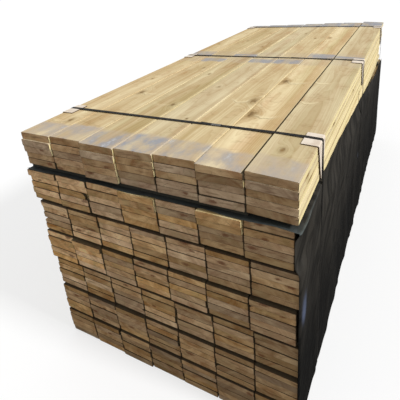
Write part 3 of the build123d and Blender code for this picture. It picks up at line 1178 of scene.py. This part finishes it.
@dataclass
class CoverSheet:
    """The black film that lies under the top packet and hangs down the right-hand side.

    Behind its first part it has slipped off the edge, so there its hanging part has a free upper edge that
    slopes down to the back. Distances and drops of that edge are in metres from the boards' front ends and
    from the second packet's top.
    """

    slip: tuple[tuple[float, float], ...] = (
        (0.0, 0.0), (0.26, 0.002), (0.40, 0.015), (0.60, 0.024), (0.87, 0.041), (1.27, 0.074), (1.74, 0.113),
        (2.08, 0.133), (2.41, 0.139), (2.70, 0.145))
    seed: int = 41
    film: float = 0.35 * MM
    above_boards: float = 0.6 * MM
    board_front: float = -1.3146
    open_from: float = 0.29
    drawn_in: float = 52 * MM  # how far the lying part's edge has moved in where it slipped
    front_cover: float = 14 * MM  # how far it reaches past the CAD's sheet, over the ends that stand forward
    front_lines: Triple = (3 * MM, 8 * MM, 14 * MM, 22 * MM)
    lines: int = 190
    bed_rows: int = 16
    side_rows: int = 64
    folds: int = 70
    fold_limit: float = 9 * MM
    strap_reach: float = 30 * MM
    lip: float = 9 * MM  # how far the crumpled front edge rises in the gap under the top packet
    # Painted blue glints: where along from the front, how high, how wide and how tall each is
    glints: tuple[tuple[float, float, float, float], ...] = (
        (0.03, 0.575, 0.026, 0.055), (1.2265, 0.658, 0.01, 0.03), (1.2565, 0.504, 0.01, 0.025))

    def __post_init__(self) -> None:
        """Takes the film's places from the frame and spaces its lines along the pile."""
        self.low, self.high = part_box("cover_sheet")
        self.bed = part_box("packet_2_course_1")[1].z + self.above_boards
        self.face = self.high.x - 0.4 * MM
        self.front = self.low.y - self.front_cover
        near = self.front + np.array((0.0,) + self.front_lines)
        rest = np.linspace(self.front + 32 * MM, self.high.y, self.lines - len(near))
        self.ahead = np.concatenate([near, rest])
        self.dist = self.ahead - self.board_front
        self.free = self.dist > self.open_from

    def build(self, film: bpy.types.Material) -> bpy.types.Object:
        """Makes the sheet.

        Args:
            film: Its material.

        Returns:
            The piece that stands for the CAD's sheet.
        """
        hanging, out = self.hanging(np.random.default_rng(self.seed))
        grid = np.concatenate([self.lying(), hanging], 1)
        piece = stand_for(self.thickened(grid, self.dust(grid, out), film), "cover_sheet")
        return piece

    def lying(self) -> np.ndarray:
        """Lays the film over the second packet, with a crumpled front edge.

        Returns:
            Its points, line by line.
        """
        across = np.linspace(self.low.x + 4 * MM, self.face - 2.5 * MM, self.bed_rows)
        drawn_in = self.drawn_in * np.clip((self.dist - self.open_from) / 0.2, 0, 1) ** 0.7
        drawn_in *= 1 + 0.12 * np.sin(self.dist * 13.0) + 0.06 * np.sin(self.dist * 41.0)
        over = np.linspace(0, 1, self.bed_rows)
        x = across - drawn_in[:, None] * over ** 2
        y = np.repeat(self.ahead[:, None], self.bed_rows, 1)
        rise = np.clip(1 - (y - self.front) / (22 * MM), 0, 1) ** 2
        wave = 0.55 + 0.3 * np.sin(across * 31.0) + 0.25 * np.sin(across * 74.0 + 1.0)
        inside = np.clip((self.face - 20 * MM - x) / (40 * MM), 0, 1)
        z = self.bed + self.lip * rise * wave * inside + 0.25 * MM * np.sin(y * 17) * np.sin(x * 13)
        return np.stack([x, y, z], 2)

    def hanging(self, rng: np.random.Generator) -> tuple[np.ndarray, np.ndarray]:
        """Hangs the film down the pile's side.

        Args:
            rng: Places its folds.

        Returns:
            Its points, line by line, and how far each stands out in a fold.
        """
        down = np.linspace(0, 1, self.side_rows) ** 1.25
        start = (self.bed - 1.2 * MM - np.interp(self.dist, *np.array(self.slip).T))[:, None]
        z = start + (self.low.z + 4 * MM - start) * down
        y = np.repeat(self.ahead[:, None], self.side_rows, 1)
        out = self.undulation(rng, y, z)
        x = self.face + out - 5 * MM * np.clip(1 - (y - self.front) / (9 * MM), 0, 1) ** 2
        ragged = 5 * MM * np.sin(self.ahead * 9.0) + 3 * MM * np.sin(self.ahead * 23.0 + 1.0)
        curl = 1.5 * MM * (np.sin(self.ahead * 37.0) + np.sin(self.ahead * 11.0 + 2.0)) * self.free
        z = z + ragged[:, None] * down ** 3 + curl[:, None] * (1 - down) ** 8

        # It leans in against the second packet where its edge is free, and in front of the first strap.
        side = max(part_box(f"packet_2_course_{c}")[1].x for c in range(1, COURSES + 1)) + 1.5 * MM
        above_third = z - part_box("packet_3_course_1")[1].z
        behind = np.clip((self.dist - self.open_from + 30 * MM) / (70 * MM), 0, 1)[:, None]
        behind = behind * np.clip((above_third - 5 * MM) / (55 * MM), 0, 1)
        before = np.clip(1 - self.dist / (130 * MM), 0, 1)[:, None] ** 0.6
        before = before * np.clip((start - z - 4 * MM) / (26 * MM), 0, 1)
        before = before * np.clip((above_third - 4 * MM) / (20 * MM), 0, 1)
        x = x - np.maximum(behind, before) * np.maximum(x - side, 0)
        return np.stack([x, y, z], 2), out

    def undulation(self, rng: np.random.Generator, y: np.ndarray, z: np.ndarray) -> np.ndarray:
        """Finds how far the hanging film stands off the boards in soft folds, tight under each strap.

        Args:
            rng: Places the folds.
            y: Where its points lie along the pile.
            z: How high they lie.

        Returns:
            How far out each point moves.
        """
        folded = np.zeros_like(y)
        for _ in range(self.folds):
            y0, z0 = rng.uniform(y.min(), y.max()), rng.uniform(self.low.z, self.bed)
            lean, wide = rng.normal(-0.12, 0.22), rng.uniform(9, 34) * MM
            reach, tall = rng.uniform(140, 480) * MM, rng.uniform(1.2, 5.0) * MM
            off = (y - y0) * math.cos(lean) - (z - z0) * math.sin(lean)
            down = (y - y0) * math.sin(lean) + (z - z0) * math.cos(lean)
            folded += tall * np.exp(-(off / wide) ** 2 - (down / reach) ** 2)
        folded = self.fold_limit * np.tanh(folded / self.fold_limit)
        swell = 2.5 * MM * (0.5 + 0.5 * np.sin(y * 6.1 + 0.7) * np.sin(z * 4.3 + 1.1))
        straps = [sum(corner.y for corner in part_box(f"strap_{k}")) / 2 for k in range(1, STRAPS + 1)]
        held = np.min([np.abs(y - strap) for strap in straps], axis=0)
        return (folded + swell) * (1 - np.exp(-(held / self.strap_reach) ** 2))

    def dust(self, grid: np.ndarray, out: np.ndarray) -> np.ndarray:
        """Finds the film's dust and painted sheen, its wear and painted sheen, and its painted blue glints.

        Args:
            grid: All points of the film.
            out: How far the hanging part stands out.

        Returns:
            Three numbers a point.
        """
        made = np.zeros_like(grid)
        z, dist, bed_rows = grid[..., 2], self.dist[:, None], self.bed_rows
        # Painted highlight along the fold at the hanging part's top edge, near the front.
        fold = np.exp(-((self.bed - 1 * MM - z) / (3.5 * MM)) ** 2) * np.clip(1 - dist / 0.26, 0, 1)
        made[:, bed_rows:, 0] = fold[:, bed_rows:] * 0.75
        # Dust and painted sheen along the lying part's front lip.
        made[:, :bed_rows, 0] = np.clip(1 - (dist + 10 * MM) / (60 * MM), 0, 1) * 0.42
        # Wear and painted sheen: lighter towards the top and the front, and where folds stand out.
        made[..., 1] = np.clip((z - 0.3) / 0.5, 0, 1) ** 1.3 * np.clip(1.15 - 0.28 * dist, 0.5, 1)
        made[:, bed_rows:, 1] += 0.2 * out / (6 * MM) - 0.06
        # Painted blue glints.
        for at, height, wide, tall in self.glints:
            spot = np.exp(-(((dist - at) / wide) ** 2 + ((z - height) / tall) ** 2) ** 2)
            made[..., 2] = np.maximum(made[..., 2], spot)
        return made

    def thickened(self, grid: np.ndarray, dust: np.ndarray, film: bpy.types.Material) -> bpy.types.Object:
        """Makes the closed mesh of the film from its outer points.

        Args:
            grid: Its outer points, line by line.
            dust: Three numbers a point for its material: dust and painted sheen, wear and painted sheen, and
                painted glints.
            film: Its material.

        Returns:
            The object, whose hanging part has come off the lying part where its edge is free.
        """
        rows = grid.shape[1]
        count = self.lines * rows
        inner = grid.copy()
        inner[:, self.bed_rows:, 0] -= self.film
        inner[:, :self.bed_rows, 2] -= self.film
        faces = [(a, a + rows, a + rows + 1, a + 1) for i in range(self.lines - 1) for j in range(rows - 1)
                 for a in (i * rows + j,) if not (j == self.bed_rows - 1 and self.free[i])]
        edges = {(face[k], face[(k + 1) % 4]) for face in faces for k in range(4)}
        rim = [(a, b) for a, b in edges if (b, a) not in edges]
        faces += [tuple(i + count for i in face[::-1]) for face in faces]
        faces += [(b, a, a + count, b + count) for a, b in sorted(rim)]
        pile = MeshPile()
        pile.add(np.concatenate([grid.reshape(-1, 3), inner.reshape(-1, 3)]), faces, [0] * len(faces),
                 {"dust": np.tile(dust.reshape(-1, 3), (2, 1))})
        return pile.build("black_sheet", [film], sharp=75)


@dataclass
class StrapSeals:
    """Sleeves crimped round the overlapped ends of the straps."""

    notch: float = 1.3 * MM
    notch_width: float = 2.2 * MM
    notches: tuple[float, ...] = (-11 * MM, -3.7 * MM, 3.7 * MM, 11 * MM)
    stations: int = 49
    corner_points: int = 5

    def build(self, steel: bpy.types.Material) -> list[bpy.types.Object]:
        """Makes the seals.

        Args:
            steel: Their material.

        Returns:
            The pieces, from the front.
        """
        made = []
        for k in range(1, STRAPS + 1):
            node = f"strap_seal_{k}"
            rows = self.rows(np.array([v.co[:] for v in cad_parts[node].data.vertices]))
            around = len(rows[0])
            faces = tube_faces(len(rows), around)
            faces.append(tuple(range(around))[::-1])
            faces.append(tuple(range((len(rows) - 1) * around, len(rows) * around)))
            pile = MeshPile()
            pile.add(np.concatenate(rows), faces, [0] * len(faces), {})
            made.append(stand_for(pile.build(f"crimped_seal_{k}", [steel], sharp=40), node))
        return made

    def rows(self, points: np.ndarray) -> list[np.ndarray]:
        """Finds the crimped sections of one seal.

        Args:
            points: The points of the CAD's seal.

        Returns:
            Its sections along the strap, each with its points in order.
        """
        middle = (points.min(0) + points.max(0)) / 2
        axis = np.linalg.svd(points - points.mean(0))[2][0]
        axis = axis * math.copysign(1, axis[0])
        side = np.array([0.0, 1.0, 0.0]) - axis * axis[1]
        side /= np.linalg.norm(side)
        normal = np.cross(axis, side)
        half = [float(np.abs((points - middle) @ d).max()) for d in (axis, side, normal)]
        r = half[2] * 0.75
        outline = np.array([
            (x * (half[1] - r) + r * math.cos(a), y * (half[2] - r) + r * math.sin(a))
            for x, y, first in ((1, 1, 0), (-1, 1, 90), (-1, -1, 180), (1, -1, 270))
            for a in map(math.radians, np.linspace(first, first + 90, self.corner_points))])
        rows = []
        for s in np.linspace(-half[0], half[0], self.stations):
            pinch = min(sum(math.exp(-((s - n) / self.notch_width) ** 4) for n in self.notches), 1.0)
            u, w = outline[:, :1], outline[:, 1:]
            u = u - np.sign(u) * self.notch * pinch * (np.abs(u) / half[1]) ** 3
            w = w * (1 - 0.25 * pinch * (np.abs(u) / half[1]) ** 2)
            rows.append(middle + s * axis + u * side + w * normal)
        return rows


def dress(nodes: list[str], material: bpy.types.Material) -> None:
    """Gives CAD nodes that stay a better material.

    Args:
        nodes: The nodes' names.
        material: The material.
    """
    for node in nodes:
        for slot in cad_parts[node].material_slots:
            slot.material = material
        LOG.info("dressed %s in %s", node, material.name)


@dataclass
class Studio:
    """A plain pale floor under soft light."""

    floor_reach: float = 90.0
    sun_strength: float = 2.65
    sun_from: Triple = (0.83, 0.03, 0.56)
    sun_angle: float = 8.0
    ambient: float = 0.6
    floor_colour: str = "#6a6865"
    shadow_share: float = 0.34

    def build(self) -> None:
        """Makes the floor, the lamp and the world."""
        r = self.floor_reach
        mesh = bpy.data.meshes.new("floor")
        mesh.from_pydata([(-r, -r, 0), (r, -r, 0), (r, r, 0), (-r, r, 0)], [], [(0, 1, 2, 3)])
        mesh.materials.append(self.floor_material())
        placed("floor", mesh)

        lamp = bpy.data.lights.new("key_light", "SUN")
        lamp.energy = self.sun_strength
        lamp.angle = math.radians(self.sun_angle)
        placed("key_light", lamp).rotation_euler = Vector(self.sun_from).to_track_quat("Z", "Y").to_euler()

        world = bpy.data.worlds.new("studio")
        bpy.context.scene.world = world
        world.use_nodes = True
        add = NodeSheet(world.node_tree).add
        strength = add("MapRange", self.seen(add), 0.0, 1.0, self.ambient, 1.0)
        add("OutputWorld", {"Surface": add("Background", {"Color": "#ffffff", "Strength": strength})})
        bpy.context.scene.view_settings.view_transform = "Standard"

    def seen(self, add: Adder) -> object:
        """Gives one for the rays that show the background, and zero for those that only carry light."""
        return add(LARGER, add("LightPath", out="Is Camera Ray"), add("LightPath", out="Is Transmission Ray"))

    def floor_material(self) -> bpy.types.Material:
        """Makes the floor's material: white to the eye with the object's shadow, greyer as a source of light.

        Returns:
            The material.
        """
        material = bpy.data.materials.new("painted_studio_floor")
        material.use_nodes = True
        add = NodeSheet(material.node_tree).add
        share = self.shadow_share
        grey = add("BsdfDiffuse", {"Color": self.floor_colour})
        paint = add("BsdfDiffuse", {"Color": (share, share, share, 1.0)})
        glow = add("Emission", {"Color": "#ffffff", "Strength": 1 - share})
        both = add("MixShader", self.seen(add), grey, add("AddShader", paint, glow))
        add("OutputMaterial", {"Surface": both})
        return material


@dataclass
class PhotoCamera:
    """The camera at the photograph's place, found by fitting points of the pile."""

    place: Triple = (0.7452, -2.1561, 1.5417)
    pitch: float = -21.125
    roll: float = -5.276
    heading: float = -29.938
    focal_pixels: float = 382.99
    principal_row: float = 118.6
    image: float = 400.0
    sensor: float = 36.0

    def build(self) -> bpy.types.Object:
        """Makes the camera and sets it as the scene's.

        Returns:
            The camera object.
        """
        pitch, roll, heading = (math.radians(a) for a in (self.pitch, self.roll, self.heading))
        flat = math.cos(pitch)
        ahead = Vector((math.sin(heading) * flat, math.cos(heading) * flat, math.sin(pitch)))
        level = Vector((math.cos(heading), -math.sin(heading), 0))
        above = level.cross(ahead)
        right = level * math.cos(roll) + above * math.sin(roll)
        up = above * math.cos(roll) - level * math.sin(roll)
        lens = bpy.data.cameras.new("photo_camera")
        lens.sensor_width = self.sensor
        lens.lens = self.sensor * self.focal_pixels / self.image
        lens.shift_y = (self.principal_row - self.image / 2) / self.image
        camera = placed("photo_camera", lens)
        turned = Matrix((right, up, -ahead)).transposed().to_4x4()
        camera.matrix_world = Matrix.Translation(self.place) @ turned
        bpy.context.scene.camera = camera
        return camera


def main() -> None:
    """Builds the camera, the pieces and the studio in order and reports each piece."""
    logging.basicConfig(level=logging.INFO, format="%(message)s")
    PhotoCamera().build()
    boards = {
        Cut.FACE: SawnPine("sawn_pine_face", Cut.FACE, early="#e9d8ac", late="#b4925f").material(),
        Cut.END: SawnPine("sawn_pine_end", Cut.END, early="#e0be8e", late="#a6774c", bump=0.5).material(),
    }
    # The spacer slats are painted dark and greenish: painted shade in the gaps between packets.
    gap_shade = {"pink": "#5a4a3c", "green": "#4d4f42", "fresh": "#3d3e39", "pale": "#5f5a50", "knot": "#453827",
            "knot_rim": "#30271b"}
    slats = {
        Cut.FACE: SawnPine("gap_shade_spacer_face", Cut.FACE, early="#55503f", late="#413c31", **gap_shade).material(),
        Cut.END: SawnPine("gap_shade_spacer_end", Cut.END, early="#524a3b", late="#3f372b", **gap_shade).material(),
    }
    made = BoardPile().build(boards)
    made += SpacerLayers().build(slats)
    made.append(CoverSheet().build(BlackPolythene().material()))
    made += StrapSeals().build(GalvanisedSteel().material())
    straps = range(1, STRAPS + 1)
    dress([f"strap_{k}" for k in straps], PolyesterStrap().material())
    dress([f"corner_protector_{side}_{k}" for side in ("left", "right") for k in straps],
          PressedBoard().material())
    for piece in made:
        LOG.info("built %s with %d faces", piece.name, len(piece.data.polygons))
    Studio().build()


if __name__ == "__main__":
    main()
